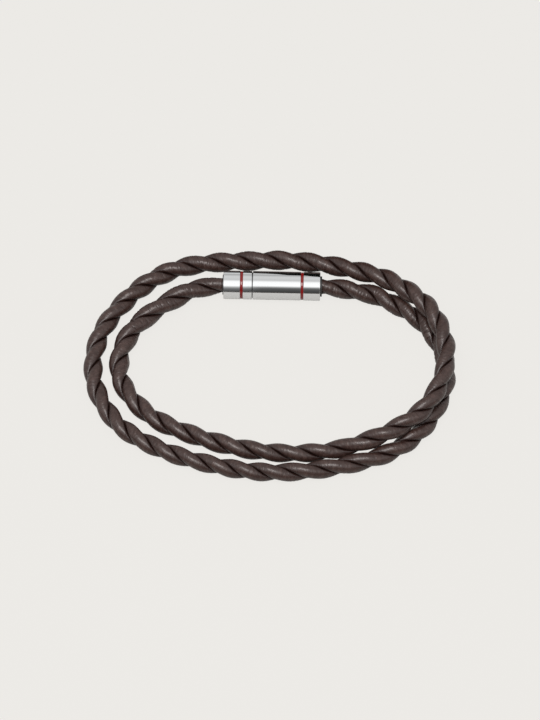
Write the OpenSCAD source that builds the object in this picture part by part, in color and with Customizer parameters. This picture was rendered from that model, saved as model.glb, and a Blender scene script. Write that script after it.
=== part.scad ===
// Double-wrap bracelet: a rope of two twisted leather strands, closed by a steel barrel clasp.
// It lies on the plane z = 0 with the middle of its outline over the origin, clasp along X at the back.

/* [Leather rope] */
// Diameter of each leather strand, across the rope
strand_d = 3.15; // [2.9:0.05:3.15]
// Distance between the middles of the two strands, which are pressed flat against each other
strand_spacing = 1.15; // [1:0.05:1.15]
// Clear gap between the two strands
strand_gap = 0.08; // [0.06:0.01:0.2]

/* [Clasp] */
// Outer diameter of the clasp
clasp_d = 6.3; // [6.1:0.1:6.5]
// Length of the short cap
cap_len = 6.3; // [6.2:0.1:6.8]
// Length of the long barrel
barrel_len = 14.9; // [14.6:0.1:15.6]
// Width of the seam between cap and barrel
seam_w = 0.2; // [0.1:0.05:0.3]
// Bevel on the clasp's two outer ends
edge_bevel = 0.12; // [0.05:0.01:0.2]
// Bevel on each side of the seam
seam_bevel = 0.05; // [0.02:0.01:0.1]
// Diameter of the bore that each end of the rope is held in
rope_bore_d = 4.6; // [4.6:0.1:4.8]
// Depth of that bore in the cap
cap_bore_depth = 3.2; // [2.5:0.1:3.4]
// Depth of that bore in the barrel
barrel_bore_depth = 5; // [4:0.1:7]

/* [Enamel rings] */
// Width of a ring
ring_w = 0.6; // [0.4:0.1:0.8]
// How far the enamel lies below the steel
ring_recess = 0.1; // [0.05:0.05:0.2]
// Thickness of the enamel
ring_t = 0.3; // [0.2:0.05:0.35]
// Distance from the clasp's end to the middle of the ring next to it
ring_inset = 4; // [3.8:0.1:4.1]

/* [Collars] */
// Outer diameter of a collar
collar_d = 4.5; // [4.4:0.1:4.5]
// Diameter of the hole that the rope passes
collar_hole_d = 4.2; // [4.16:0.02:4.24]
// Length of the collar that is hidden in the bore
collar_hidden = 1.6; // [1:0.1:2]
// How far the collar stands out of the barrel
collar_proud_barrel = 0.4; // [0.2:0.1:0.6]
// How far the collar stands out of the cap
collar_proud_cap = 0.2; // [0.1:0.1:0.4]

/* [Pin] */
// Diameter of the pin inside the clasp, which shows as the dark bottom of the seam
pin_d = 5.6; // [5:0.1:5.7]
// Depth of the pin in the cap, where it ends short of the enamel ring's groove
pin_in_cap = 1.6; // [1.2:0.1:1.6]
// Depth of the pin in the barrel
pin_in_barrel = 5.4; // [4:0.1:6]

/* [Hidden] */
$fn = 96;

// Clear gap round every piece that sits in another
fit_gap = 0.05;
// Clear gap on each side of the enamel, which fills its groove
enamel_gap = 0.02;
// Gap between a strand's end and the bottom of its bore
end_gap = 0.1;
// How far a cut runs past the face that it opens
cut_past = 1;

// Place of the clasp's middle, which lies on its side on the plane z = 0
clasp_mid_x = -0.2;
clasp_y = 20.1;
clasp_z = clasp_d / 2;
clasp_len = cap_len + seam_w + barrel_len;
cap_end_x = clasp_mid_x - clasp_len / 2;
barrel_end_x = clasp_mid_x + clasp_len / 2;
seam_x = cap_end_x + cap_len;
barrel_start_x = seam_x + seam_w;

// Length of rope that holds one full turn of the twist
twist_pitch = 12.8;
// The clasp squeezes the rope's ends to this share of their size, and lets go over this much of a turn
grip_share = 0.93;
grip_turns = 0.4;
// Outer diameter of the twisted rope
rope_d = strand_d + strand_spacing;
// Height of the rope's middle where it lies on the plane
rest_z = rope_d / 2;
// Height where the second wrap crosses over the first, with a small gap between them
wrap_gap = 0.1;
over_z = rest_z + rope_d + wrap_gap;

// The rope's route, from the barrel round both wraps to the cap. There is a row for each full turn of the
// twist, where the first strand lies straight above the second, and a few more near the clasp.
// Columns: turns of the twist, x, y and z of the rope's middle.
route = [
    [-0.4, barrel_end_x - barrel_bore_depth, clasp_y, clasp_z],
    [0, barrel_end_x, clasp_y, clasp_z],
    [0.5, 17.4, 19.6, 2.6],
    [1, 24, 18, rest_z + 0.1],
    [2, 33.8, 10.9, rest_z],
    [3, 38.4, -0.5, rest_z],
    [4, 35, -13.1, rest_z],
    [5, 26.8, -21.7, rest_z],
    [6, 14, -26.2, rest_z],
    [7, 0.5, -27.7, rest_z],
    [8, -11.4, -26.2, rest_z],
    [9, -23.2, -22.4, rest_z],
    [10, -32.9, -15.9, rest_z],
    [11, -38.3, -5.2, rest_z],
    [12, -37.6, 6.6, rest_z],
    [13, -31.4, 17.07, rest_z + 0.05],
    [14, -22.4, 24.13, rest_z + 0.25],
    [15, -10, 26.6, rest_z + 0.6],
    [16, 3, 26.9, rest_z + 1],
    [17, 16, 24.77, rest_z + 1.8],
    [18, 27, 20.27, rest_z + 2.8],
    [19, 35.1, 11.6, rest_z + 4.4],
    [20, 38.2, 0, over_z],
    [21, 34, -12.5, over_z],
    [22, 24.1, -19.1, rest_z + 2.4],
    [23, 11, -22.5, rest_z + 0.3],
    [24, -2, -22.5, rest_z + 0.1],
    [25, -14.8, -19.3, rest_z],
    [26, -26.2, -13.6, rest_z],
    [27, -32.8, -3.7, rest_z],
    [28, -30.5, 7.9, rest_z + 0.1],
    [29, -19.4, 17.9, rest_z + 0.6],
    [29.6, cap_end_x, clasp_y, clasp_z],
    [29.8, cap_end_x + cap_bore_depth, clasp_y, clasp_z]
];
last_row = len(route) - 1;

// Faceting of a strand: rings along a turn of the twist, and sides round the strand
rings_per_turn = 10;
sides = 8;
// Squareness of a strand's inner half, where the two strands press together: 2 is round
squash_power = 3.2;

// Columns of a route row
function turns_at(i) = route[i][0];
function point_at(i) = [route[i][1], route[i][2], route[i][3]];

// Number of the route row at or before a number of turns
function row_before(turns) =
    min(last_row - 1, max(0, len([for (i = [0:last_row]) if (turns_at(i) <= turns) i]) - 1));

// Direction of the route at a row, for each turn of the twist
function slope_at(i) =
    let (before = max(0, i - 1), after = min(last_row, i + 1))
    (point_at(after) - point_at(before)) / (turns_at(after) - turns_at(before));

// Point and direction of the rope's middle at a number of turns, on a smooth curve through the rows
function route_point(turns) =
    let (i = row_before(turns), span = turns_at(i + 1) - turns_at(i), u = (turns - turns_at(i)) / span)
    (2 * u ^ 3 - 3 * u ^ 2 + 1) * point_at(i)
    + (u ^ 3 - 2 * u ^ 2 + u) * span * slope_at(i)
    + (3 * u ^ 2 - 2 * u ^ 3) * point_at(i + 1)
    + (u ^ 3 - u ^ 2) * span * slope_at(i + 1);
function route_direction(turns) =
    let (i = row_before(turns), span = turns_at(i + 1) - turns_at(i), u = (turns - turns_at(i)) / span)
    unit((6 * u ^ 2 - 6 * u) * (point_at(i) - point_at(i + 1))
    + (3 * u ^ 2 - 4 * u + 1) * span * slope_at(i)
    + (3 * u ^ 2 - 2 * u) * span * slope_at(i + 1));

function unit(v) = v / norm(v);
function signed_power(value, power) = sign(value) * pow(abs(value), power);

// Outline of a strand at an angle round it, as [out from the rope's middle, along the twist].
// The outer half is round and the inner half is squashed flat towards the other strand.
function outline(angle) =
    let (half = strand_d / 2, inner = (strand_spacing - strand_gap) / 2)
    cos(angle) >= 0
        ? [strand_spacing / 2 + half * cos(angle), half * sin(angle)]
        : [strand_spacing / 2 + inner * signed_power(cos(angle), 2 / squash_power),
           half * signed_power(sin(angle), 2 / squash_power)];

// Share of its full size that the rope has, from the squeeze inside the clasp to the free rope outside
function grip_at(turns) =
    let (free = min(1, max(0, min(turns, turns_at(last_row - 1) - turns) / grip_turns)))
    1 - (1 - grip_share) * (1 - free ^ 2 * (3 - 2 * free));

// Ring of points round one strand, which starts out above the other or half a turn from it
function strand_ring(turns, half_turns) =
    let (
        size = grip_at(turns),
        middle = route_point(turns),
        ahead = route_direction(turns),
        up = unit([0, 0, 1] - ahead[2] * ahead),
        side = cross(ahead, up),
        twist = 360 * turns + 180 * half_turns,
        out = cos(twist) * up + sin(twist) * side,
        along = cross(ahead, out)
    )
    [for (k = [0:sides - 1]) let (p = size * outline(360 * k / sides)) middle + p[0] * out + p[1] * along];

module strand(half_turns) {
    start = turns_at(0) + end_gap / twist_pitch;
    end = turns_at(last_row) - end_gap / twist_pitch;
    steps = round((end - start) * rings_per_turn);
    points = [
        for (ring = [0:steps]) each strand_ring(start + (end - start) * ring / steps, half_turns)
    ];
    first_cap = [[for (k = [0:sides - 1]) k]];
    last_cap = [[for (k = [sides - 1:-1:0]) steps * sides + k]];
    // Two triangles a wall. Their diagonal runs along the strand on its round sides, and across it on the two
    // sides that face the other strand, so that those are hollow between rings and never reach into it.
    walls = [
        for (ring = [0:steps - 1], k = [0:sides - 1])
            let (
                a = ring * sides + k,
                b = ring * sides + (k + 1) % sides,
                c = b + sides,
                d = a + sides,
                faces_other = k == sides / 2 - 1 || k == sides / 2
            )
            each (faces_other ? [[a, c, b], [a, d, c]] : [[a, d, b], [b, d, c]])
    ];
    polyhedron(points, concat(first_cap, walls, last_cap), convexity = 20);
}

// Turns a profile of [radius, x] points about the clasp's axis
module turned(profile) {
    translate([0, clasp_y, clasp_z]) rotate([0, 90, 0]) rotate_extrude() polygon(profile);
}

// Solid bar on the clasp's axis
module bar(d, from_x, to_x) {
    turned([[0, from_x], [d / 2, from_x], [d / 2, to_x], [0, to_x]]);
}

// Steel bar with its outer edges bevelled, each end by its own amount
module bevelled_bar(from_x, to_x, from_bevel, to_bevel) {
    r = clasp_d / 2;
    turned([
        [0, from_x],
        [r - from_bevel, from_x],
        [r, from_x + from_bevel],
        [r, to_x - to_bevel],
        [r - to_bevel, to_x],
        [0, to_x]
    ]);
}

// Ring on the clasp's axis
module band(outer_d, inner_d, from_x, to_x) {
    turned([[inner_d / 2, from_x], [outer_d / 2, from_x], [outer_d / 2, to_x], [inner_d / 2, to_x]]);
}

// Groove for an enamel ring, cut past the steel's surface
module enamel_groove(middle_x) {
    band(
        clasp_d + 2 * cut_past,
        clasp_d - 2 * (ring_recess + ring_t) - 2 * enamel_gap,
        middle_x - ring_w / 2 - enamel_gap,
        middle_x + ring_w / 2 + enamel_gap
    );
}

module enamel_ring(middle_x) {
    band(
        clasp_d - 2 * ring_recess,
        clasp_d - 2 * (ring_recess + ring_t),
        middle_x - ring_w / 2,
        middle_x + ring_w / 2
    );
}

module leather_strand_1() {
    color([0.24, 0.19, 0.18]) strand(0);
}

module leather_strand_2() {
    color([0.27, 0.21, 0.20]) strand(1);
}

module clasp_barrel() {
    color([0.80, 0.81, 0.82]) difference() {
        bevelled_bar(barrel_start_x, barrel_end_x, seam_bevel, edge_bevel);
        enamel_groove(barrel_end_x - ring_inset);
        bar(rope_bore_d, barrel_end_x - barrel_bore_depth, barrel_end_x + cut_past);
        bar(pin_d + 2 * fit_gap, barrel_start_x - cut_past, barrel_start_x + pin_in_barrel + fit_gap);
    }
}

module clasp_cap() {
    color([0.80, 0.81, 0.82]) difference() {
        bevelled_bar(cap_end_x, seam_x, edge_bevel, seam_bevel);
        enamel_groove(cap_end_x + ring_inset);
        bar(rope_bore_d, cap_end_x - cut_past, cap_end_x + cap_bore_depth);
        bar(pin_d + 2 * fit_gap, seam_x - pin_in_cap - fit_gap, seam_x + cut_past);
    }
}

module clasp_pin() {
    color([0.62, 0.63, 0.65]) bar(pin_d, seam_x - pin_in_cap, barrel_start_x + pin_in_barrel);
}

module enamel_ring_barrel() {
    color([0.60, 0.12, 0.11]) enamel_ring(barrel_end_x - ring_inset);
}

module enamel_ring_cap() {
    color([0.60, 0.12, 0.11]) enamel_ring(cap_end_x + ring_inset);
}

module collar_barrel() {
    color([0.06, 0.06, 0.06])
        band(collar_d, collar_hole_d, barrel_end_x - collar_hidden, barrel_end_x + collar_proud_barrel);
}

module collar_cap() {
    color([0.06, 0.06, 0.06])
        band(collar_d, collar_hole_d, cap_end_x - collar_proud_cap, cap_end_x + collar_hidden);
}

leather_strand_1();
leather_strand_2();
clasp_barrel();
clasp_cap();
clasp_pin();
enamel_ring_barrel();
enamel_ring_cap();
collar_barrel();
collar_cap();
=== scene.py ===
# Double-wrap bracelet: two leather strands twisted into a rope, closed by a polished steel barrel clasp.
# Everything is in metres. +X runs along the clasp, +Y to the back where the clasp lies, +Z up.
import math
import random

import bmesh
import bpy
import numpy as np
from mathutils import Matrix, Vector


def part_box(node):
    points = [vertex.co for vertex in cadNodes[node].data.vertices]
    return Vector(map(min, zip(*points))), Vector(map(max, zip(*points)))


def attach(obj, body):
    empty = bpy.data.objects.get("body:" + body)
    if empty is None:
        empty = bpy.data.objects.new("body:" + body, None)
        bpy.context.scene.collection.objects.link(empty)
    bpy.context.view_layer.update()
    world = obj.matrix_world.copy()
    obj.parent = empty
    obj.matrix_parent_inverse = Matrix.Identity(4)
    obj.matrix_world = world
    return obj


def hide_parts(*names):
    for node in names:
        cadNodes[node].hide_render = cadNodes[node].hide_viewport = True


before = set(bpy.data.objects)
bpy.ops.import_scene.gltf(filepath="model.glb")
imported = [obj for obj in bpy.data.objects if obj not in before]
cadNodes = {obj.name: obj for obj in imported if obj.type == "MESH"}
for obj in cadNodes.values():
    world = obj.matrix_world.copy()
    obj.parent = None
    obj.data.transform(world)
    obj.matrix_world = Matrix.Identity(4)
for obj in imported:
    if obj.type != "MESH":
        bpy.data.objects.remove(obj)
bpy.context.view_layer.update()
print("frame loaded:", len(cadNodes), "nodes")

# Camera

view = {
    "lookAt": (-0.0002, 0.0024, 0.0),
    "turn": 1.35,        # degrees to the right of straight in front
    "tilt": 56.5,        # degrees above the floor
    "distance": 0.7,
    "lens": 159.5,       # mm, on the 36 mm long side of the picture
}


def addCamera():
    turn = math.radians(view["turn"])
    tilt = math.radians(view["tilt"])
    back = Vector((math.sin(turn) * math.cos(tilt), -math.cos(turn) * math.cos(tilt), math.sin(tilt)))
    data = bpy.data.cameras.new("camera")
    data.lens = view["lens"]
    data.sensor_width = 36
    data.clip_start = 0.01
    data.clip_end = 20
    camera = bpy.data.objects.new("camera", data)
    camera.location = Vector(view["lookAt"]) + back * view["distance"]
    camera.rotation_euler = back.to_track_quat("Z", "Y").to_euler()
    bpy.context.scene.collection.objects.link(camera)
    bpy.context.scene.camera = camera


addCamera()
print("camera placed")

weldDistance = 1e-7      # points nearer than this are joined
matchDistance = 1e-6     # and nearer than this they count as the same place

# Clasp places, read from the frame

capLow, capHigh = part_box("clasp_cap")
barrelLow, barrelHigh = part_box("clasp_barrel")
clasp = {
    "capEnd": capLow.x,
    "seamLeft": capHigh.x,
    "seamRight": barrelLow.x,
    "barrelEnd": barrelHigh.x,
    "y": (barrelLow.y + barrelHigh.y) / 2,
    "z": (barrelLow.z + barrelHigh.z) / 2,
    "radius": (barrelHigh.z - barrelLow.z) / 2,
    "ropeBore": 0.0023,          # radius of the bore that takes the rope
    "capBoreDepth": 0.0032,
    "barrelBoreDepth": 0.005,
    "pinBore": 0.00285,
    "pinInCap": 0.00165,
    "pinInBarrel": 0.00545,
    "grooveFloor": 0.00273,      # radius at the bottom of an enamel groove
    "grooveHalf": 0.00032,
    "ringInset": 0.004,          # from the clasp's end to the middle of the ring
    "endBevel": 0.00012,
    "seamBevel": 0.00005,
    "fineBevel": 0.00003,        # at the grooves and the rope's bore
    "support": 0.00003,          # width of the flat strips beside the bevels, which keep reflections true
    "steps": 144,
    "sharpAngle": 50,            # degrees; edges that turn more than this stay sharp
}

# Rope

rope = {
    "strandDiameter": 0.00315,
    "strandSpacing": 0.00115,    # between the middles of the two strands
    "strandGap": -0.00004,       # pressed together, so that no light comes through
    "squash": 2.7,               # squareness of the pressed inner half, 2 is round
    "pitch": 0.0128,
    "endGap": 0.0001,
    "gripShare": 0.93,           # the clasp squeezes the rope's ends to this share of their size
    "gripTurns": 0.4,            # and lets go of it over this much of the twist
    "rest": 0.00215,             # height of the rope's middle where it lies on the floor
    "over": 0.00655,             # and where the second wrap crosses over the first
    "ringsPerTurn": 150,
    "sides": 20,
    "grooveStart": 0.75,         # cosine of the angle from its outermost line where the painted shade of its groove begins
    "pathStep": 4,               # every fourth ring is enough to describe the cord's path
}
strandLean = math.pi * rope["strandSpacing"] / rope["pitch"]    # slope of a strand against the rope

# Columns: turns of the twist, x, y and z of the rope's middle
ropeRoute = [
    (-0.4, clasp["barrelEnd"] - clasp["barrelBoreDepth"], clasp["y"], clasp["z"]),
    (0, clasp["barrelEnd"], clasp["y"], clasp["z"]),
    (0.5, 0.0174, 0.0196, 0.0026),
    (1, 0.024, 0.018, rope["rest"] + 0.0001),
    (2, 0.0338, 0.0109, rope["rest"]),
    (3, 0.0384, -0.0005, rope["rest"]),
    (4, 0.035, -0.0131, rope["rest"]),
    (5, 0.0268, -0.0217, rope["rest"]),
    (6, 0.014, -0.0262, rope["rest"]),
    (7, 0.0005, -0.0277, rope["rest"]),
    (8, -0.0114, -0.0262, rope["rest"]),
    (9, -0.0232, -0.0224, rope["rest"]),
    (10, -0.0329, -0.0159, rope["rest"]),
    (11, -0.0383, -0.0052, rope["rest"]),
    (12, -0.0376, 0.0066, rope["rest"]),
    (13, -0.0314, 0.01707, rope["rest"] + 0.00005),
    (14, -0.0224, 0.02413, rope["rest"] + 0.00025),
    (15, -0.01, 0.0266, rope["rest"] + 0.0006),
    (16, 0.003, 0.0269, rope["rest"] + 0.001),
    (17, 0.016, 0.02477, rope["rest"] + 0.0018),
    (18, 0.027, 0.02027, rope["rest"] + 0.0028),
    (19, 0.0351, 0.0116, rope["rest"] + 0.0044),
    (20, 0.0382, 0, rope["over"]),
    (21, 0.034, -0.0125, rope["over"]),
    (22, 0.0241, -0.0191, rope["rest"] + 0.0024),
    (23, 0.011, -0.0225, rope["rest"] + 0.0003),
    (24, -0.002, -0.0225, rope["rest"] + 0.0001),
    (25, -0.0148, -0.0193, rope["rest"]),
    (26, -0.0262, -0.0136, rope["rest"]),
    (27, -0.0328, -0.0037, rope["rest"]),
    (28, -0.0305, 0.0079, rope["rest"] + 0.0001),
    (29, -0.0194, 0.0179, rope["rest"] + 0.0006),
    (29.6, clasp["capEnd"], clasp["y"], clasp["z"]),
    (29.8, clasp["capEnd"] + clasp["capBoreDepth"], clasp["y"], clasp["z"]),
]

# Small bends between the rows. Columns: turns of the twist, shift along y and z, reach in turns
bends = [
    (0.6, -0.0001, 0, 0.25),
    (15.4, -0.0002, 0, 0.35),
    (17.1, -0.0002, 0, 0.45),
    (18.25, -0.00055, 0.00045, 0.45),
    (21.9, -0.00062, 0.0006, 0.45),
    (22.65, 0.0001, -0.0005, 0.3),
    (28.95, -0.00016, 0, 0.3),
]

# Leather isn't equally thick all the way. Columns: turns of the twist, share of the full thickness
fullness = [
    (0.2, 1), (0.5, 1.03), (1, 1.03), (1.6, 1), (4, 1), (6.5, 0.95), (8, 0.945), (10, 0.965), (11, 0.99),
    (12, 1.02), (13, 1.04), (17, 1.025), (20, 1), (22, 0.97), (23.5, 0.95), (24.5, 0.985), (26.5, 1),
    (27.3, 1.06), (28.5, 1.07), (29, 1.09), (29.35, 1),
]

# Cross creases. Columns: turns of the twist, how strong the creases are there
creaseStrength = [
    (-0.4, 0.8), (0.3, 1.3), (2.5, 1.4), (4.5, 0.35), (8, 0.25), (11, 0.15), (12.5, 0.35), (14, 0.75),
    (17, 0.75), (18.5, 0.3), (22, 0.2), (26, 0.15), (27.3, 0.5), (28.1, 1.5), (29.3, 1.5), (29.8, 0.8),
]
creases = {
    "seed": 40,
    "spacing": (0.00038, 0.00068),
    "depth": (0.00004, 0.00012),
    "width": (0.0001, 0.00015),
    "reach": (0.35, 0.9),        # half of the angle that a crease covers round the strand, in radians
    "place": 1.1,                # how far round its middle may sit
    "slant": 0.35,
    "window": 0.0012,            # a crease is worked out this far to both sides
}
lumps = {"amount": 0.00003, "length": 0.0045, "sides": (0.0, 2.0, 4.0)}    # angles with lumps of their own


def alongRoute(turns):
    # Middle and direction of the rope at each number of turns, on a smooth curve through the rows
    rowTurns = np.array([row[0] for row in ropeRoute])
    rowPoints = np.array([row[1:] for row in ropeRoute])
    before = np.maximum(np.arange(len(ropeRoute)) - 1, 0)
    after = np.minimum(np.arange(len(ropeRoute)) + 1, len(ropeRoute) - 1)
    slopes = (rowPoints[after] - rowPoints[before]) / (rowTurns[after] - rowTurns[before])[:, None]
    i = np.clip(np.searchsorted(rowTurns, turns, side="right") - 1, 0, len(ropeRoute) - 2)
    span = (rowTurns[i + 1] - rowTurns[i])[:, None]
    u = (turns - rowTurns[i])[:, None] / span
    start, end = rowPoints[i], rowPoints[i + 1]
    leave, arrive = slopes[i] * span, slopes[i + 1] * span
    middle = (2 * u**3 - 3 * u**2 + 1) * start + (u**3 - 2 * u**2 + u) * leave
    middle += (3 * u**2 - 2 * u**3) * end + (u**3 - u**2) * arrive
    ahead = (6 * u**2 - 6 * u) * (start - end) + (3 * u**2 - 4 * u + 1) * leave + (3 * u**2 - 2 * u) * arrive
    return middle, unit(ahead)


def unit(vectors):
    return vectors / np.linalg.norm(vectors, axis=1, keepdims=True)


def signedPower(values, power):
    return np.sign(values) * np.abs(values) ** power


def strandOutline(angles):
    # The outer half of a strand is round, the inner half is pressed flat against the other strand
    half = rope["strandDiameter"] / 2
    inner = (rope["strandSpacing"] - rope["strandGap"]) / 2
    power = 2 / rope["squash"]
    cosine, sine = np.cos(angles), np.sin(angles)
    outer = cosine >= 0
    out = rope["strandSpacing"] / 2 + np.where(outer, half * cosine, inner * signedPower(cosine, power))
    across = half * np.where(outer, sine, signedPower(sine, power))
    return out, across


def gripAt(turns):
    # Share of its size that the rope has: squeezed inside the clasp, full a little way outside
    free = np.clip(np.minimum(turns, ropeRoute[-2][0] - turns) / rope["gripTurns"], 0, 1)
    return 1 - (1 - rope["gripShare"]) * (1 - free * free * (3 - 2 * free))


def creaseField(distance, angles, strength, seed):
    # Depth of the leather's fine cross creases and slow lumps, for each ring and each side
    rng = random.Random(seed)
    depth = np.zeros((len(distance), len(angles)))
    lean = np.sin(angles) * rope["strandDiameter"] / 2
    around = (angles + math.pi) % (2 * math.pi) - math.pi
    at = rng.uniform(*creases["spacing"])
    while at < distance[-1]:
        power = np.interp(at, distance, strength)
        width = rng.uniform(*creases["width"])
        slant = strandLean + rng.uniform(-1, 1) * creases["slant"]
        reach = rng.uniform(*creases["reach"])
        place = rng.uniform(-1, 1) * creases["place"]
        deep = rng.uniform(*creases["depth"]) * power
        first, last = np.searchsorted(distance, (at - creases["window"], at + creases["window"]))
        offset = distance[first:last, None] + (lean * slant)[None, :] - at
        fade = np.exp(-(((around - place) / reach) ** 2))[None, :]
        depth[first:last] += deep * fade * np.exp(-((offset / width) ** 2))
        at += rng.uniform(*creases["spacing"])
    knots = np.arange(0, distance[-1] + lumps["length"], lumps["length"])
    for side in lumps["sides"]:
        heights = [rng.uniform(-1, 1) for _ in knots]
        wave = np.interp(distance, knots, heights)[:, None]
        depth += lumps["amount"] * wave * (0.5 + 0.5 * np.cos(angles - side))[None, :]
    return depth


def twistRound(turns, halfTurns):
    # The rope's middle, and the directions out of the rope and across the strand, at each number of turns
    middle, ahead = alongRoute(turns)
    for at, shiftY, shiftZ, reach in bends:
        middle[:, 1:] += np.exp(-(((turns - at) / reach) ** 2))[:, None] * (shiftY, shiftZ)
    up = unit(np.array([0, 0, 1.0]) - ahead[:, 2:] * ahead)
    side = np.cross(ahead, up)
    twist = (2 * math.pi * turns + math.pi * halfTurns)[:, None]
    out = np.cos(twist) * up + np.sin(twist) * side
    return middle, out, np.cross(ahead, out)


def rollSheet(name, points):
    # Rolls a flat sheet of quads up along the points. Also gives each vertex's ring and its place in the ring
    steps, sides = len(points) - 1, len(points[0]) - 1
    bm = bmesh.new()
    bm.loops.layers.uv.new("strandMap")
    bmesh.ops.create_grid(bm, x_segments=steps, y_segments=sides, size=0.5, calc_uvs=True)
    mesh = bpy.data.meshes.new(name)
    bm.to_mesh(mesh)
    bm.free()
    flat = np.zeros(len(mesh.vertices) * 3, np.float32)
    mesh.vertices.foreach_get("co", flat)
    flat = flat.reshape(-1, 3)
    ring = np.rint((flat[:, 0] + 0.5) * steps).astype(int)
    place = np.rint((flat[:, 1] + 0.5) * sides).astype(int)
    mesh.vertices.foreach_set("co", points[ring, place].astype(np.float32).ravel())
    return mesh, ring, place


def addPointValues(mesh, name, values):
    mesh.attributes.new(name, "FLOAT", "POINT").data.foreach_set("value", values.astype(np.float32))


def closeSkin(mesh):
    # Welds the rolled sheet along its length and closes its ends
    bm = bmesh.new()
    bm.from_mesh(mesh)
    bmesh.ops.remove_doubles(bm, verts=bm.verts, dist=weldDistance)
    openEdges = [edge for edge in bm.edges if edge.is_boundary]
    bmesh.ops.holes_fill(bm, edges=openEdges, sides=0)
    bmesh.ops.recalc_face_normals(bm, faces=bm.faces)
    bm.to_mesh(mesh)
    bm.free()
    mesh.shade_smooth()


def makeStrand(name, halfTurns, seed):
    first = ropeRoute[0][0] + rope["endGap"] / rope["pitch"]
    last = ropeRoute[-1][0] - rope["endGap"] / rope["pitch"]
    turns = np.linspace(first, last, round((last - first) * rope["ringsPerTurn"]) + 1)
    middle, out, across = twistRound(turns, halfTurns)
    full = np.interp(turns, *zip(*fullness))
    middle[:, 2] *= full                                        # a thicker rope lies higher
    size = (full * gripAt(turns))[:, None]
    distance = np.concatenate([[0], np.cumsum(np.linalg.norm(np.diff(middle, axis=0), axis=1))])

    angles = np.linspace(0, 2 * math.pi, rope["sides"] + 1)
    outLine, acrossLine = strandOutline(angles)
    strength = np.interp(turns, *zip(*creaseStrength))
    sunk = creaseField(distance, angles, strength, seed)
    sunk[:, -1] = sunk[:, 0]
    sunk *= np.clip(np.cos(angles) * 2 + 1, 0, 1)[None, :]      # none on the side pressed to its neighbour
    outOffset = size * outLine[None, :] - sunk * np.cos(angles)
    acrossOffset = size * acrossLine[None, :] - sunk * np.sin(angles)
    points = middle[:, None, :] + outOffset[:, :, None] * out[:, None, :]
    points += acrossOffset[:, :, None] * across[:, None, :]
    mesh, ring, place = rollSheet(name, points)

    # The map is in millimetres: along the strand, and round it
    loopVertex = np.zeros(len(mesh.loops), np.int32)
    mesh.loops.foreach_get("vertex_index", loopVertex)
    girth = np.concatenate([[0], np.cumsum(np.hypot(np.diff(outLine), np.diff(acrossLine)))])
    leaning = acrossLine * strandLean
    mapU = (distance[ring] + leaning[place]) * 1000
    mapV = girth[place] * 1000
    uv = np.stack([mapU, mapV], axis=1)[loopVertex]
    mesh.uv_layers["strandMap"].data.foreach_set("uv", uv.astype(np.float32).ravel())

    # painted shade: the inner side of each strand, pressed against the other strand, is darkened towards the
    # groove
    addPointValues(mesh, "groove", np.clip(rope["grooveStart"] - np.cos(angles), 0, 1)[place])
    # painted shade in the creases, deeper creases darker
    addPointValues(mesh, "creaseShade", np.clip(sunk[ring, place] / creases["depth"][1], 0, 1))
    closeSkin(mesh)
    strand = bpy.data.objects.new(name, mesh)
    bpy.context.scene.collection.objects.link(strand)

    centre = rope["strandSpacing"] / 2
    line = middle + centre * size * out
    return strand, line[::rope["pathStep"]], float(np.linalg.norm(np.diff(line, axis=0), axis=1).sum())


strands = []
for number, halfTurns in ((1, 0), (2, 1)):
    strand, line, length = makeStrand(f"leatherStrand{number}", halfTurns, creases["seed"] + number)
    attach(strand, "root")
    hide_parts(f"leather_strand_{number}")
    strands.append(strand)
    print(f"strand {number} made, {length:.4f} m along its own middle")

# Shared shader effects


def newGroup(name, inputs, outputs):
    # inputs: name, kind and default value; outputs: name and kind
    group = bpy.data.node_groups.new(name, "ShaderNodeTree")
    for label, kind, value in inputs:
        socket = group.interface.new_socket(label, in_out="INPUT", socket_type=kind)
        if value is not None:
            socket.default_value = value
    for label, kind in outputs:
        group.interface.new_socket(label, in_out="OUTPUT", socket_type=kind)
    return group, group.nodes.new("NodeGroupInput"), group.nodes.new("NodeGroupOutput")


def addNode(tree, kind, settings=None, **values):
    node = tree.nodes.new(kind)
    for key, value in (settings or {}).items():
        setattr(node, key, value)
    for key, value in values.items():
        node.inputs[key].default_value = value
    return node


def mixColours(tree, factor, first, second):
    node = tree.nodes.new("ShaderNodeMix")
    node.data_type = "RGBA"
    for socket, value in ((node.inputs[0], factor), (node.inputs[6], first), (node.inputs[7], second)):
        feed(tree, value, socket)
    return node.outputs[2]


def combine(tree, operation, first, second):
    node = tree.nodes.new("ShaderNodeMath")
    node.operation = operation
    feed(tree, first, node.inputs[0])
    feed(tree, second, node.inputs[1])
    return node.outputs[0]


def rescale(tree, value, fromLow, fromHigh, toLow, toHigh):
    node = tree.nodes.new("ShaderNodeMapRange")
    for index, bound in enumerate((fromLow, fromHigh, toLow, toHigh)):
        feed(tree, bound, node.inputs[index + 1])
    feed(tree, value, node.inputs[0])
    return node.outputs[0]


def feed(tree, value, socket):
    # A link where the value is another node's output, a plain value otherwise
    if isinstance(value, bpy.types.NodeSocket):
        tree.links.new(value, socket)
    elif isinstance(value, (tuple, list)) and len(value) == 3 and socket.type == "RGBA":
        socket.default_value = (*value, 1)
    else:
        socket.default_value = value


# Ranges here and below are the part of a pattern's values that is spread over the whole effect
grainLook = {
    "pebbleShare": 0.65,
    "fineShare": 0.35,
    "pebbleRange": (0.0, 0.7),
    "blotchScale": 0.45,
}
handlingLook = {
    "smudgeScale": 260.0,
    "smudgeRange": (0.35, 0.7),
    "hairlineScale": (900.0, 5200.0, 5200.0),    # to the metre; the hairlines run along the first
    "hairlineTurn": (0.3, 0.2, 0.5),
}


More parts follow.
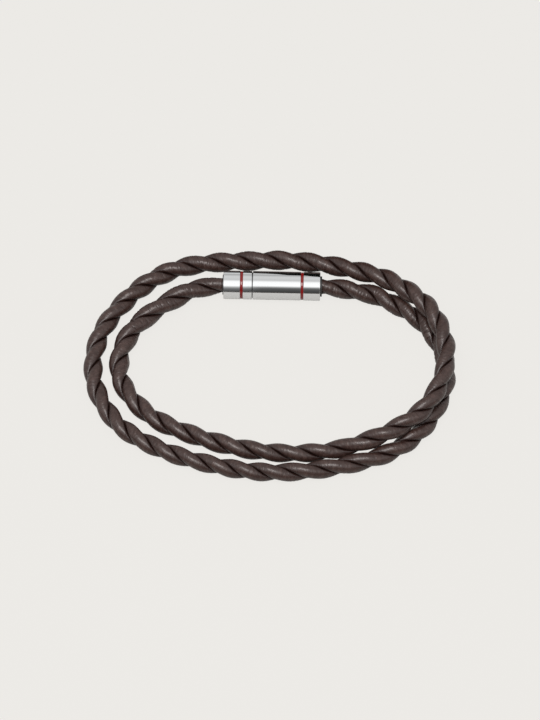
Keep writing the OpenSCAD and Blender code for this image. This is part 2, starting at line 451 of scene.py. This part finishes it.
def makeGrainGroup():
    # Fine uneven grain: pebbles and pores on a surface map in millimetres
    group, start, end = newGroup(
        "fineGrain",
        [("Vector", "NodeSocketVector", None), ("Cells", "NodeSocketFloat", 4),
         ("Detail", "NodeSocketFloat", 9)],
        [("Height", "NodeSocketFloat"), ("Blotches", "NodeSocketFloat")],
    )
    cells = addNode(group, "ShaderNodeTexVoronoi", {"feature": "SMOOTH_F1"}, Smoothness=0.35)
    fine = addNode(group, "ShaderNodeTexNoise", Detail=3.0, Roughness=0.6)
    blotches = addNode(group, "ShaderNodeTexNoise", Detail=2.0, Roughness=0.55,
                       Scale=grainLook["blotchScale"])
    for node, scale in ((cells, "Cells"), (fine, "Detail"), (blotches, None)):
        group.links.new(start.outputs["Vector"], node.inputs["Vector"])
        if scale:
            group.links.new(start.outputs[scale], node.inputs["Scale"])
    pebbles = rescale(group, cells.outputs["Distance"], *grainLook["pebbleRange"], 1.0, 0.0)
    height = combine(group, "ADD", combine(group, "MULTIPLY", pebbles, grainLook["pebbleShare"]),
                     combine(group, "MULTIPLY", fine.outputs[0], grainLook["fineShare"]))
    group.links.new(height, end.inputs["Height"])
    group.links.new(blotches.outputs[0], end.inputs["Blotches"])
    return group


def makeHandlingGroup():
    # Faint smudges and hairline marks that handling leaves on a smooth surface
    group, start, end = newGroup(
        "handlingMarks",
        [("Vector", "NodeSocketVector", None), ("Low", "NodeSocketFloat", 0.05),
         ("High", "NodeSocketFloat", 0.12)],
        [("Roughness", "NodeSocketFloat"), ("Height", "NodeSocketFloat")],
    )
    smudges = addNode(group, "ShaderNodeTexNoise", Scale=handlingLook["smudgeScale"], Detail=4.0,
                      Roughness=0.6)
    stretch = addNode(group, "ShaderNodeMapping", Scale=handlingLook["hairlineScale"],
                      Rotation=handlingLook["hairlineTurn"])
    hairlines = addNode(group, "ShaderNodeTexNoise", Scale=1.0, Detail=2.0)
    group.links.new(start.outputs["Vector"], smudges.inputs["Vector"])
    group.links.new(start.outputs["Vector"], stretch.inputs["Vector"])
    group.links.new(stretch.outputs[0], hairlines.inputs["Vector"])
    soft = rescale(group, smudges.outputs[0], *handlingLook["smudgeRange"],
                   start.outputs["Low"], start.outputs["High"])
    group.links.new(soft, end.inputs["Roughness"])
    group.links.new(hairlines.outputs[0], end.inputs["Height"])
    return group


fineGrain = makeGrainGroup()
handlingMarks = makeHandlingGroup()


def newMaterial(name):
    material = bpy.data.materials.new(name)
    material.use_nodes = True
    tree = material.node_tree
    tree.nodes.clear()
    shader = tree.nodes.new("ShaderNodeBsdfPrincipled")
    output = tree.nodes.new("ShaderNodeOutputMaterial")
    tree.links.new(shader.outputs[0], output.inputs[0])
    return material, tree, shader


def placeGroup(tree, group, vector, **values):
    node = tree.nodes.new("ShaderNodeGroup")
    node.node_tree = group
    tree.links.new(vector, node.inputs["Vector"])
    for key, value in values.items():
        node.inputs[key].default_value = value
    return node


def addBump(tree, height, distance, strength, under=None):
    node = addNode(tree, "ShaderNodeBump", Distance=distance, Strength=strength)
    tree.links.new(height, node.inputs["Height"])
    if under:
        tree.links.new(under, node.inputs["Normal"])
    return node.outputs[0]


leather = {
    "dark": (0.021, 0.0092, 0.0069),
    "light": (0.032, 0.0165, 0.0132),
    # lighter colour on the raised ridges: partly rubbed wear, partly painted highlight
    "ridgeWearAndHighlight": (0.060, 0.036, 0.0305),
    # painted shade colour, laid into the creases and, nearly black, into the groove between the strands
    "groove": (0.014, 0.0052, 0.0038),
    "ridgeShare": 0.45,
    "creaseShadeShare": 0.6,
    "grooveShare": 0.9,
    "blotchRange": (0.35, 0.65),
    "ridgeRange": (0.48, 0.64),
    "grooveRange": (0.3, 1.0),
    "roughness": (0.52, 0.38),      # in the pores, on the pebbles
    "roughRange": (0.2, 0.8),
    "ridgeGloss": 0.14,             # how much smoother the rubbed ridges are
    "specular": 0.25,
    "coat": 0.3,
    "coatRoughness": 0.24,
    "wrinkles": (1.7, 0.6, 1.0),    # to the millimetre, along the strand and round it
    "wrinkleHeight": 0.0002,
    "grainHeight": 0.000018,
    "grainStrength": 0.7,
    "pebbles": 4.2,                 # to the millimetre
    "pores": 9.0,
}


def leatherMaterial():
    material, tree, shader = newMaterial("brownLeather")
    strandMap = addNode(tree, "ShaderNodeUVMap", {"uv_map": "strandMap"}).outputs[0]
    groove = addNode(tree, "ShaderNodeAttribute", {"attribute_name": "groove"}).outputs["Fac"]
    creaseShade = addNode(tree, "ShaderNodeAttribute", {"attribute_name": "creaseShade"}).outputs["Fac"]
    grain = placeGroup(tree, fineGrain, strandMap, Cells=leather["pebbles"], Detail=leather["pores"])

    # Colour: slow blotches; ridges lighter, partly rubbed wear and partly painted highlight; painted shade in
    # the creases and, nearly black, in the groove
    blotches = rescale(tree, grain.outputs["Blotches"], *leather["blotchRange"], 0.0, 1.0)
    colour = mixColours(tree, blotches, leather["dark"], leather["light"])
    stretch = addNode(tree, "ShaderNodeMapping", Scale=leather["wrinkles"])
    wrinkles = addNode(tree, "ShaderNodeTexNoise", Scale=1.0, Detail=2.0, Roughness=0.45)
    tree.links.new(strandMap, stretch.inputs["Vector"])
    tree.links.new(stretch.outputs[0], wrinkles.inputs["Vector"])
    ridges = rescale(tree, wrinkles.outputs[0], *leather["ridgeRange"], 0.0, 1.0)
    # ridges lighter: partly rubbed wear, partly painted highlight
    wearAndHighlight = combine(tree, "MULTIPLY", ridges, leather["ridgeShare"])
    colour = mixColours(tree, wearAndHighlight, colour, leather["ridgeWearAndHighlight"])
    # painted shade in the creases
    sunk = combine(tree, "MULTIPLY", creaseShade, leather["creaseShadeShare"])
    colour = mixColours(tree, sunk, colour, leather["groove"])
    # painted shade, nearly black, in the groove between the strands
    down = rescale(tree, groove, *leather["grooveRange"], 0.0, leather["grooveShare"])
    colour = mixColours(tree, down, colour, leather["groove"])
    tree.links.new(colour, shader.inputs["Base Color"])

    # Finish: fine cross wrinkles under a pebbled grain
    rough = rescale(tree, grain.outputs["Height"], *leather["roughRange"], *leather["roughness"])
    rough = combine(tree, "SUBTRACT", rough, combine(tree, "MULTIPLY", ridges, leather["ridgeGloss"]))
    tree.links.new(rough, shader.inputs["Roughness"])
    under = addBump(tree, wrinkles.outputs[0], leather["wrinkleHeight"], 1.0)
    over = addBump(tree, grain.outputs["Height"], leather["grainHeight"], leather["grainStrength"], under)
    tree.links.new(over, shader.inputs["Normal"])
    shader.inputs["Specular IOR Level"].default_value = leather["specular"]
    shader.inputs["Coat Weight"].default_value = leather["coat"]
    shader.inputs["Coat Roughness"].default_value = leather["coatRoughness"]
    return material


steel = {
    "polished": (0.66, 0.668, 0.67),
    # steel of the hidden pin, darkened as painted shade in the seam
    "shadedPin": (0.10, 0.10, 0.10),
    "inside": (0.012, 0.012, 0.012),         # painted shade, nearly black, on the unpolished faces of the seam and the bores
    "polishedRoughness": (0.045, 0.065),
    "plainRoughness": (0.25, 0.4),
    "insideRoughness": 0.45,
    "hairlineHeight": 0.000004,
    "hairlineStrength": 0.3,
}


def polishedMaterial():
    # Mirror polish outside; in the seam and the bores rougher machined steel, with painted shade that makes
    # it nearly black
    material, tree, shader = newMaterial("polishedSteel")
    place = tree.nodes.new("ShaderNodeTexCoord").outputs["Object"]
    inside = addNode(tree, "ShaderNodeAttribute", {"attribute_name": "inside"}).outputs["Fac"]
    low, high = steel["polishedRoughness"]
    marks = placeGroup(tree, handlingMarks, place, Low=low, High=high)
    tree.links.new(mixColours(tree, inside, steel["polished"], steel["inside"]), shader.inputs["Base Color"])
    within = combine(tree, "MULTIPLY", inside, steel["insideRoughness"])
    tree.links.new(combine(tree, "MAXIMUM", marks.outputs["Roughness"], within), shader.inputs["Roughness"])
    shader.inputs["Metallic"].default_value = 1
    return material


# Steel of the hidden pin, its colour darkened as painted shade in the seam
def shadedPinMaterial():
    material, tree, shader = newMaterial("shadedPinSteel")
    place = tree.nodes.new("ShaderNodeTexCoord").outputs["Object"]
    low, high = steel["plainRoughness"]
    marks = placeGroup(tree, handlingMarks, place, Low=low, High=high)
    bump = addBump(tree, marks.outputs["Height"], steel["hairlineHeight"], steel["hairlineStrength"])
    tree.links.new(marks.outputs["Roughness"], shader.inputs["Roughness"])
    tree.links.new(bump, shader.inputs["Normal"])
    shader.inputs["Base Color"].default_value = (*steel["shadedPin"], 1)
    shader.inputs["Metallic"].default_value = 1
    return material


enamel = {
    "dark": (0.125, 0.004, 0.0042),
    "light": (0.16, 0.0065, 0.006),
    "cloudScale": 1800.0,
    "cloudRange": (0.3, 0.7),
    "roughness": (0.12, 0.24),
    "specular": 0.35,
    "bore": clasp["grooveFloor"] + 0.00002,
    "bevel": 0.00004,
    "crown": 0.00002,            # how much higher the middle of the outside is than its rims
}


def enamelMaterial():
    material, tree, shader = newMaterial("redEnamel")
    place = tree.nodes.new("ShaderNodeTexCoord").outputs["Object"]
    low, high = enamel["roughness"]
    marks = placeGroup(tree, handlingMarks, place, Low=low, High=high)
    clouds = addNode(tree, "ShaderNodeTexNoise", Scale=enamel["cloudScale"], Detail=2.0)
    tree.links.new(place, clouds.inputs["Vector"])
    tint = rescale(tree, clouds.outputs[0], *enamel["cloudRange"], 0.0, 1.0)
    tree.links.new(mixColours(tree, tint, enamel["dark"], enamel["light"]), shader.inputs["Base Color"])
    tree.links.new(marks.outputs["Roughness"], shader.inputs["Roughness"])
    shader.inputs["Specular IOR Level"].default_value = enamel["specular"]
    return material


collar = {
    "dark": (0.006, 0.006, 0.006),
    "light": (0.014, 0.013, 0.013),
    "roughness": 0.6,
    "blotchRange": (0.3, 0.7),
    "grainHeight": 0.00001,
    "grainStrength": 0.6,
    "pebbles": 7.0,
    "pores": 14.0,
    "bore": 0.0021,
    "bevel": 0.00005,
    "crown": 0.00001,
}


def collarMaterial():
    material, tree, shader = newMaterial("blackCollar")
    place = tree.nodes.new("ShaderNodeTexCoord").outputs["Object"]
    inMillimetres = addNode(tree, "ShaderNodeMapping", Scale=(1000.0, 1000.0, 1000.0))
    tree.links.new(place, inMillimetres.inputs["Vector"])
    grain = placeGroup(tree, fineGrain, inMillimetres.outputs[0], Cells=collar["pebbles"],
                       Detail=collar["pores"])
    shade = rescale(tree, grain.outputs["Blotches"], *collar["blotchRange"], 0.0, 1.0)
    bump = addBump(tree, grain.outputs["Height"], collar["grainHeight"], collar["grainStrength"])
    tree.links.new(mixColours(tree, shade, collar["dark"], collar["light"]), shader.inputs["Base Color"])
    tree.links.new(bump, shader.inputs["Normal"])
    shader.inputs["Roughness"].default_value = collar["roughness"]
    return material


leatherFinish = leatherMaterial()
polishedSteel = polishedMaterial()
shadedPinSteel = shadedPinMaterial()
redEnamel = enamelMaterial()
blackCollar = collarMaterial()
for strand in strands:
    strand.data.materials.append(leatherFinish)
print("materials made")

# Clasp


def turnProfile(profile, closed):
    # Turns (radius, x) points about the clasp's axis
    bm = bmesh.new()
    points = [bm.verts.new((x, clasp["y"], clasp["z"] + radius)) for radius, x in profile]
    edges = [bm.edges.new(pair) for pair in zip(points, points[1:])]
    if closed:
        edges.append(bm.edges.new((points[-1], points[0])))
    bmesh.ops.spin(bm, geom=points + edges, cent=(0, clasp["y"], clasp["z"]), axis=(1, 0, 0),
                   angle=2 * math.pi, steps=clasp["steps"], use_merge=True)
    bmesh.ops.remove_doubles(bm, verts=bm.verts, dist=weldDistance)
    bmesh.ops.recalc_face_normals(bm, faces=bm.faces)
    return bm


def fromAxis(point):
    return math.hypot(point.y - clasp["y"], point.z - clasp["z"])


def onRim(edge, rim):
    return all(math.dist((fromAxis(vert.co), vert.co.x), rim) < matchDistance for vert in edge.verts)


def bevelRims(bm, rims, width, segments):
    # rims: (radius, x) of the round edges to soften
    edges = [edge for edge in bm.edges if any(onRim(edge, rim) for rim in rims)]
    bmesh.ops.bevel(bm, geom=edges, offset=width, offset_type="OFFSET", segments=segments, profile=0.5,
                    affect="EDGES", material=-1)


def finishTurned(bm, name, node, material):
    mesh = bpy.data.meshes.new(name)
    bm.to_mesh(mesh)
    bm.free()
    mesh.shade_smooth()
    mesh.set_sharp_from_angle(angle=math.radians(clasp["sharpAngle"]))
    mesh.materials.append(material)
    piece = bpy.data.objects.new(name, mesh)
    bpy.context.scene.collection.objects.link(piece)
    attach(piece, "root")
    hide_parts(node)
    return piece


def makeClaspHalf(name, node, mouth, seam, boreDepth, pinDepth):
    # inwards is +1 where the half runs from its mouth towards +X, and -1 where it runs towards -X
    inwards = 1 if seam > mouth else -1
    radius, floor, half = clasp["radius"], clasp["grooveFloor"], clasp["grooveHalf"]
    ringMiddle = mouth + inwards * clasp["ringInset"]
    grooveNear = ringMiddle - inwards * half
    grooveFar = ringMiddle + inwards * half
    profile = [
        (0, mouth + inwards * boreDepth),
        (clasp["ropeBore"], mouth + inwards * boreDepth),
        (clasp["ropeBore"], mouth),
        (radius, mouth),
        (radius, mouth + inwards * (clasp["endBevel"] + clasp["support"])),
        (radius, grooveNear - inwards * (clasp["fineBevel"] + clasp["support"])),
        (radius, grooveNear),
        (floor, grooveNear),
        (floor, grooveFar),
        (radius, grooveFar),
        (radius, grooveFar + inwards * (clasp["fineBevel"] + clasp["support"])),
        (radius, seam - inwards * (clasp["seamBevel"] + clasp["support"])),
        (radius, seam),
        (clasp["pinBore"], seam),
        (clasp["pinBore"], seam - inwards * pinDepth),
        (0, seam - inwards * pinDepth),
    ]
    bm = turnProfile(profile, closed=False)
    bevelRims(bm, [(radius, mouth)], clasp["endBevel"], segments=4)
    bevelRims(bm, [(radius, seam)], clasp["seamBevel"], segments=3)
    fineRims = [(radius, grooveNear), (radius, grooveFar), (clasp["ropeBore"], mouth)]
    bevelRims(bm, fineRims, clasp["fineBevel"], segments=2)
    # painted shade mask: the seam's faces and the bores get the nearly black colour
    inside = bm.verts.layers.float.new("inside")
    for vert in bm.verts:
        onMouth = abs(vert.co.x - mouth) < clasp["endBevel"]
        onSeam = abs(vert.co.x - seam) < matchDistance
        deep = fromAxis(vert.co) < radius - 2 * clasp["endBevel"]
        vert[inside] = 1.0 if onSeam or (deep and not onMouth) else 0.0
    return finishTurned(bm, name, node, polishedSteel)


steelPieces = [
    makeClaspHalf("claspBarrel", "clasp_barrel", clasp["barrelEnd"], clasp["seamRight"],
                  clasp["barrelBoreDepth"], clasp["pinInBarrel"]),
    makeClaspHalf("claspCap", "clasp_cap", clasp["capEnd"], clasp["seamLeft"],
                  clasp["capBoreDepth"], clasp["pinInCap"]),
]
print("clasp made")


def makeBand(name, node, material, band):
    # A ring as large as its node, with a slightly crowned outside
    low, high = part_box(node)
    outer = (high.z - low.z) / 2
    rim = outer - band["crown"]
    middle = (low.x + high.x) / 2
    profile = [(band["bore"], low.x), (rim, low.x), (outer, middle), (rim, high.x), (band["bore"], high.x)]
    bm = turnProfile(profile, closed=True)
    bevelRims(bm, [(rim, low.x), (rim, high.x)], band["bevel"], segments=3)
    return finishTurned(bm, name, node, material)


for end in ("barrel", "cap"):
    title = end.capitalize()
    makeBand(f"enamelRing{title}", f"enamel_ring_{end}", redEnamel, enamel)
    makeBand(f"collar{title}", f"collar_{end}", blackCollar, collar)
# the pin shows only in the seam; its darkened steel is painted shade there
cadNodes["clasp_pin"].data.materials.clear()
cadNodes["clasp_pin"].data.materials.append(shadedPinSteel)
print("rings and collars made")

# Floor and light

studio = {
    "floorSize": 4.0,
    # The camera sees a floor with hardly any shade on it, while reflections and bounced light see a matt one
    "floorSeen": (0.025, 0.0245, 0.0235),
    "glowSeen": (0.7976, 0.7828, 0.7537),
    "floorReal": (0.44, 0.438, 0.425),
    "glowReal": (0.06, 0.06, 0.058),
    "floorRoughness": 0.95,
    "backdrop": (0.838, 0.820, 0.787),
    # Columns: degrees round from the front horizon over the top to the back horizon, brightness
    "sky": [
        (0, 0.12), (10, 0.145), (17.5, 0.19), (26, 0.295), (34, 0.52), (42.5, 1.03), (50, 1.56), (82, 1.45),
        (91.5, 1.11), (99, 0.81), (108, 0.885), (128, 0.93), (138, 0.75), (149, 0.55), (162, 0.88),
        (180, 0.9),
    ],
}
softBox = {
    "place": (-0.04, -0.16, 0.56),    # it looks at the middle of the floor
    "width": 0.28,
    "depth": 0.24,
    "brightness": 12.8,
    "colour": (1, 0.955, 0.935),
}

# Cards that only the steel shows. A dark one stands behind the set, a graded one far in front
cards = {
    "colour": (0.006, 0.0065, 0.006),
    "darkBehind": 0.041,
    # Columns: x and height of the dark card's upper edge
    "dark": [
        (-0.04, 0.008), (-0.0095, 0.0082), (-0.0063, 0.0082), (-0.0036, 0.0101), (-0.0018, 0.0104),
        (0.0009, 0.0126), (0.0032, 0.0168), (0.0072, 0.0173), (0.0086, 0.0213), (0.0102, 0.0242),
        (0.03, 0.0245),
    ],
    "gradedAhead": -0.3,
    "gradedRight": 0.04,
    # Columns: degrees above the barrel, brightness of the graded card there
    "graded": [
        (-1, 0.07), (8, 0.075), (15, 0.092), (22.5, 0.11), (31, 0.155), (39.5, 0.33), (47, 0.98), (55, 1.56),
    ],
}


def makeFloor():
    bm = bmesh.new()
    bmesh.ops.create_grid(bm, x_segments=1, y_segments=1, size=studio["floorSize"] / 2)
    mesh = bpy.data.meshes.new("floor")
    bm.to_mesh(mesh)
    bm.free()
    floor = bpy.data.objects.new("floor", mesh)
    bpy.context.scene.collection.objects.link(floor)
    material, tree, shader = newMaterial("paleFloor")
    seen = tree.nodes.new("ShaderNodeLightPath").outputs["Is Camera Ray"]
    colour = mixColours(tree, seen, studio["floorReal"], studio["floorSeen"])
    glow = mixColours(tree, seen, studio["glowReal"], studio["glowSeen"])
    tree.links.new(colour, shader.inputs["Base Color"])
    tree.links.new(glow, shader.inputs["Emission Color"])
    shader.inputs["Roughness"].default_value = studio["floorRoughness"]
    shader.inputs["Specular IOR Level"].default_value = 0.0
    shader.inputs["Emission Strength"].default_value = 1.0
    material.cycles.emission_sampling = "NONE"
    mesh.materials.append(material)


def stageCard(bm, name):
    # A card that shows only in reflections
    bmesh.ops.recalc_face_normals(bm, faces=bm.faces)
    mesh = bpy.data.meshes.new(name)
    bm.to_mesh(mesh)
    bm.free()
    card = bpy.data.objects.new(name, mesh)
    bpy.context.scene.collection.objects.link(card)
    material, tree, shader = newMaterial(name)
    shader.inputs["Base Color"].default_value = (*cards["colour"], 1)
    shader.inputs["Roughness"].default_value = 1.0
    shader.inputs["Specular IOR Level"].default_value = 0.0
    mesh.materials.append(material)
    card.visible_camera = False
    card.visible_diffuse = False
    card.visible_shadow = False
    return material, tree, shader


def makeDarkCard():
    bm = bmesh.new()
    foot = [bm.verts.new((x, cards["darkBehind"], 0)) for x, _ in cards["dark"]]
    line = [bm.edges.new(pair) for pair in zip(foot, foot[1:])]
    raised = bmesh.ops.extrude_edge_only(bm, edges=line)["geom"]
    for vert in raised:
        if isinstance(vert, bmesh.types.BMVert):
            vert.co.z = np.interp(vert.co.x, *zip(*cards["dark"]))
    stageCard(bm, "darkCard")


def makeGradedCard():
    # Its left edge lies where the mirrored sight line of the seam meets it
    bm = bmesh.new()
    glow = bm.verts.layers.float.new("glow")
    cameraX = bpy.context.scene.camera.location.x
    away = clasp["y"] - cards["gradedAhead"]
    sightLine = view["distance"] + clasp["y"] * math.cos(math.radians(view["tilt"]))
    drift = (clasp["seamRight"] - cameraX) / sightLine
    top = max(brightness for _, brightness in cards["graded"])
    lower = None
    for degrees, brightness in cards["graded"]:
        rise = math.radians(degrees)
        left = clasp["seamRight"] + drift * away / math.cos(rise)
        height = clasp["z"] + away * math.tan(rise)
        ends = [bm.verts.new((x, cards["gradedAhead"], height)) for x in (left, cards["gradedRight"])]
        for vert in ends:
            vert[glow] = brightness / top
        if lower:
            bmesh.ops.contextual_create(bm, geom=lower + ends)
        lower = ends
    material, tree, shader = stageCard(bm, "gradedCard")
    share = addNode(tree, "ShaderNodeAttribute", {"attribute_name": "glow"}).outputs["Fac"]
    tree.links.new(mixColours(tree, share, (0, 0, 0), (1, 1, 1)), shader.inputs["Emission Color"])
    shader.inputs["Emission Strength"].default_value = top
    material.cycles.emission_sampling = "NONE"


def makeSky():
    world = bpy.data.worlds.new("studio")
    bpy.context.scene.world = world
    world.use_nodes = True
    tree = world.node_tree
    tree.nodes.clear()
    direction = tree.nodes.new("ShaderNodeTexCoord").outputs["Generated"]
    split = tree.nodes.new("ShaderNodeSeparateXYZ")
    tree.links.new(direction, split.inputs[0])
    angle = combine(tree, "ARCTAN2", split.outputs["Z"], combine(tree, "MULTIPLY", split.outputs["Y"], -1.0))
    share = combine(tree, "DIVIDE", angle, math.pi)
    ramp = tree.nodes.new("ShaderNodeValToRGB")
    tree.links.new(share, ramp.inputs[0])
    stops = ramp.color_ramp.elements
    top = max(brightness for _, brightness in studio["sky"])
    for index, (degrees, brightness) in enumerate(studio["sky"]):
        stop = stops[index] if index < 2 else stops.new(degrees / 180)
        stop.position = degrees / 180
        stop.color = (brightness / top, brightness / top, brightness / top, 1)
    glow = addNode(tree, "ShaderNodeBackground", Strength=top)
    tree.links.new(ramp.outputs[0], glow.inputs["Color"])
    backdrop = addNode(tree, "ShaderNodeBackground", Color=(*studio["backdrop"], 1), Strength=1.0)
    seen = tree.nodes.new("ShaderNodeLightPath").outputs["Is Camera Ray"]
    mix = tree.nodes.new("ShaderNodeMixShader")
    tree.links.new(seen, mix.inputs[0])
    tree.links.new(glow.outputs[0], mix.inputs[1])
    tree.links.new(backdrop.outputs[0], mix.inputs[2])
    output = tree.nodes.new("ShaderNodeOutputWorld")
    tree.links.new(mix.outputs[0], output.inputs[0])


def addSoftBox():
    data = bpy.data.lights.new("softBox", "AREA")
    data.shape = "RECTANGLE"
    data.size = softBox["width"]
    data.size_y = softBox["depth"]
    data.energy = softBox["brightness"] * math.pi * softBox["width"] * softBox["depth"]
    data.color = softBox["colour"]
    lamp = bpy.data.objects.new("softBox", data)
    lamp.location = softBox["place"]
    lamp.rotation_euler = Vector(softBox["place"]).to_track_quat("Z", "Y").to_euler()
    bpy.context.scene.collection.objects.link(lamp)

    # The steel shows the sky, the floor and the cards, because a lamp's sharp reflection would burn out on it
    shielded = bpy.data.collections.new("shieldedFromLamp")
    for number, piece in enumerate(steelPieces + [cadNodes["clasp_pin"]]):
        shielded.objects.link(piece)
        shielded.collection_objects[number].light_linking.link_state = "EXCLUDE"
    lamp.light_linking.receiver_collection = shielded


makeFloor()
makeDarkCard()
makeGradedCard()
makeSky()
addSoftBox()
bpy.context.scene.view_settings.view_transform = "Standard"
print("floor and light made")
